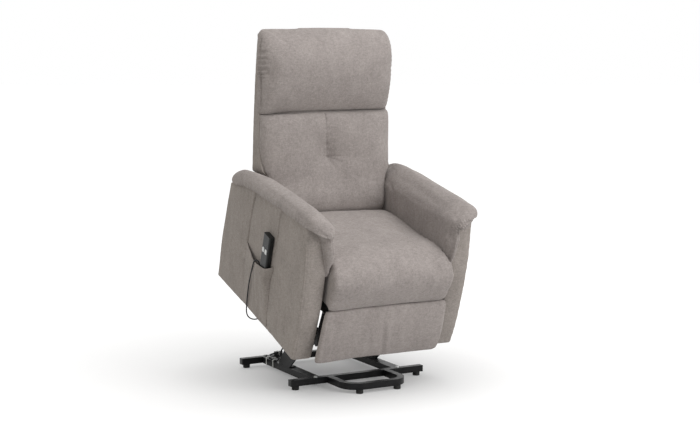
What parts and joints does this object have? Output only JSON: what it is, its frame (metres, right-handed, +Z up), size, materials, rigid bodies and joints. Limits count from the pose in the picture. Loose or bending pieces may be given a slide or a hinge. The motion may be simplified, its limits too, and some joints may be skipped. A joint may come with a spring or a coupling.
{
  "type": "lift recliner chair",
  "caption": "Upholstered lift recliner in its raised position, with lift frame, folding footrest, reclining back, padded arms and a handset in a side pocket.",
  "frame": {"origin": "on the floor, in the middle of the overall width and depth, with the chair raised", "axes": "+Z up, the sitter faces -Y, +X is the sitter's left"},
  "size_m": [0.7562, 0.8977, 1.3747],
  "materials": {
    "black_steel": "gloss black powder coat",
    "zinc_steel": "zinc plated",
    "chrome_steel": "polished",
    "black_plastic": "satin moulded",
    "grey_plastic": "satin moulded",
    "tie_plastic": "natural nylon",
    "black_rubber": "matte",
    "cord_jacket": "satin",
    "seat_fabric": "woven, taupe",
    "panel_fabric": "woven, taupe",
    "pad_felt": "needled felt",
    "timber": "sawn"
  },
  "bodies": {
    "base": {"front_crossbar": "black_steel", "rear_crossbar": "black_steel", "side_rails": "black_steel", "front_loop": "black_steel", "floor_feet": "black_rubber", "tube_end_caps": "black_plastic", "frame_bolts": "zinc_steel", "lift_riser_left": "black_steel", "lift_riser_right": "black_steel", "guide_pivot_pins": "zinc_steel", "actuator_anchor": "black_steel", "anchor_pin": "zinc_steel", "power_lead": "cord_jacket", "lead_connector": "black_plastic", "power_socket": "black_plastic", "cable_ties": "tie_plastic"},
    "lift_arms": {"lift_link_left": "black_steel", "lift_link_right": "black_steel", "torque_tube": "black_steel", "pivot_shafts": "zinc_steel", "lift_crank": "black_steel", "crank_pin": "zinc_steel"},
    "guide_links": {"guide_links": "black_steel"},
    "actuator": {"actuator_gearbox": "black_plastic", "lift_motor": "black_steel", "actuator_tube": "black_plastic"},
    "actuator_rod": {"actuator_rod": "chrome_steel"},
    "chair": {"seat_side_plates": "black_steel", "body_link_pins": "zinc_steel", "seat_cross_tubes": "black_steel", "seat_front_rail": "timber", "seat_springs": "zinc_steel", "seat_deck": "pad_felt", "seat_cushion": "seat_fabric", "arm_brackets": "black_steel", "arm_frames": "timber", "arm_left": "panel_fabric", "arm_right": "panel_fabric", "arm_pad_left": "seat_fabric", "arm_pad_right": "seat_fabric", "handset_socket": "black_plastic", "rear_panel": "panel_fabric", "side_pocket": "panel_fabric", "handset_case": "black_plastic", "handset_cord": "cord_jacket", "frame_rivets": "zinc_steel", "back_hinge_pins": "zinc_steel"},
    "raise_button": {"raise_button": "grey_plastic"},
    "lower_button": {"lower_button": "grey_plastic"},
    "footrest_links": {"footrest_links": "black_steel"},
    "footrest_toggles": {"footrest_toggles": "black_steel"},
    "footrest_guides": {"footrest_guide_bars": "black_steel"},
    "footrest": {"footrest_brackets": "black_steel", "footrest_board": "timber", "footrest_pad": "seat_fabric"},
    "backrest": {"back_brackets": "black_steel", "back_frame": "timber", "back_shell": "panel_fabric", "lumbar_cushion": "seat_fabric", "head_cushion": "seat_fabric"}
  },
  "joints": [
    {"name": "lift", "type": "hinge", "parent": "base", "child": "lift_arms", "pos_m": [0, 0.06, 0.15], "axis": [1, 0, 0], "range_deg": [-52.76, 0]},
    {"name": "body_tilt", "type": "hinge", "parent": "lift_arms", "child": "chair", "pos_m": [0, 0.31405, 0.33372], "axis": [1, 0, 0], "range_deg": [0, 35.87]},
    {"name": "guide_swing", "type": "hinge", "parent": "base", "child": "guide_links", "pos_m": [0, -0.025, 0.14], "axis": [1, 0, 0], "range_deg": [-60.95, 0]},
    {"name": "actuator_swing", "type": "hinge", "parent": "base", "child": "actuator", "pos_m": [0, 0.325, 0.09], "axis": [1, 0, 0], "range_deg": [-8.32, 0]},
    {"name": "rod_swing", "type": "hinge", "parent": "lift_arms", "child": "actuator_rod", "pos_m": [0, 0.00765, 0.21049], "axis": [1, 0, 0], "range_deg": [0, 44.46]},
    {"name": "footrest_swing", "type": "hinge", "parent": "chair", "child": "footrest_links", "pos_m": [0, -0.2921, 0.33361], "axis": [1, 0, 0], "range_deg": [-66.56, 0]},
    {"name": "toggle_fold", "type": "hinge", "parent": "footrest_links", "child": "footrest_toggles", "pos_m": [0, -0.2197, 0.20197], "axis": [1, 0, 0], "range_deg": [0, 90.5]},
    {"name": "footrest_turn", "type": "hinge", "parent": "footrest_toggles", "child": "footrest", "pos_m": [0, -0.30825, 0.29735], "axis": [1, 0, 0], "range_deg": [-114, 0]},
    {"name": "guide_bar_swing", "type": "hinge", "parent": "chair", "child": "footrest_guides", "pos_m": [0, -0.26763, 0.32014], "axis": [1, 0, 0], "range_deg": [-67.9, 0]},
    {"name": "recline", "type": "hinge", "parent": "chair", "child": "backrest", "pos_m": [0, 0.1834, 0.48853], "axis": [-1, 0, 0], "range_deg": [0, 32]},
    {"name": "raise_press", "type": "slide", "parent": "chair", "child": "raise_button", "axis": [0.9996, -0.008, 0.0262], "range_m": [0, 0.0012], "stiffness_N_per_m": 500},
    {"name": "lower_press", "type": "slide", "parent": "chair", "child": "lower_button", "axis": [0.9996, -0.008, 0.0262], "range_m": [0, 0.0012], "stiffness_N_per_m": 500}
  ],
  "couplings": [
    {"joint": "body_tilt", "follows": "lift", "ratio": -0.6797},
    {"joint": "guide_swing", "follows": "lift", "ratio": 1.1541},
    {"joint": "actuator_swing", "follows": "lift", "ratio": 0.1575},
    {"joint": "rod_swing", "follows": "lift", "ratio": -0.8425},
    {"joint": "toggle_fold", "follows": "footrest_swing", "ratio": -1.3585},
    {"joint": "footrest_turn", "follows": "footrest_swing", "ratio": 1.7108},
    {"joint": "guide_bar_swing", "follows": "footrest_swing", "ratio": 1.0186}
  ]
}
